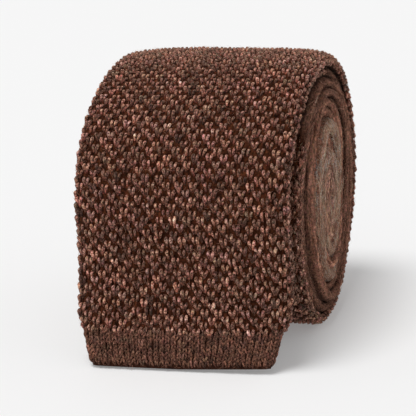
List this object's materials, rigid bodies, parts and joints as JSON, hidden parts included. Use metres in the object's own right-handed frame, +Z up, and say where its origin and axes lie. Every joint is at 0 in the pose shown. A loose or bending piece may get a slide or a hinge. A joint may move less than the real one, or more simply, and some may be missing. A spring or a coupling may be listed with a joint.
{
  "type": "knit tie",
  "caption": "Knitted wool necktie, folded at the neck and rolled up, with the wide end hanging down in front to a plain squared hem.",
  "frame": {"origin": "middle of the bottom of the rolled tie's box, on the surface it rests on", "axes": "+X along the roll, across the tie, towards the side where the turns line up; -Y towards the hanging wide end; +Z up"},
  "size_m": [0.068, 0.1, 0.0843],
  "materials": {
    "moss_knit": "brown melange wool in moss stitch, matt and softly fuzzy",
    "plain_knit": "brown melange wool in plain stitch, matt"
  },
  "bodies": {
    "root": {"blade": "moss_knit", "blade_hem": "plain_knit", "tail": "moss_knit", "tail_hem": "plain_knit"}
  },
  "joints": []
}
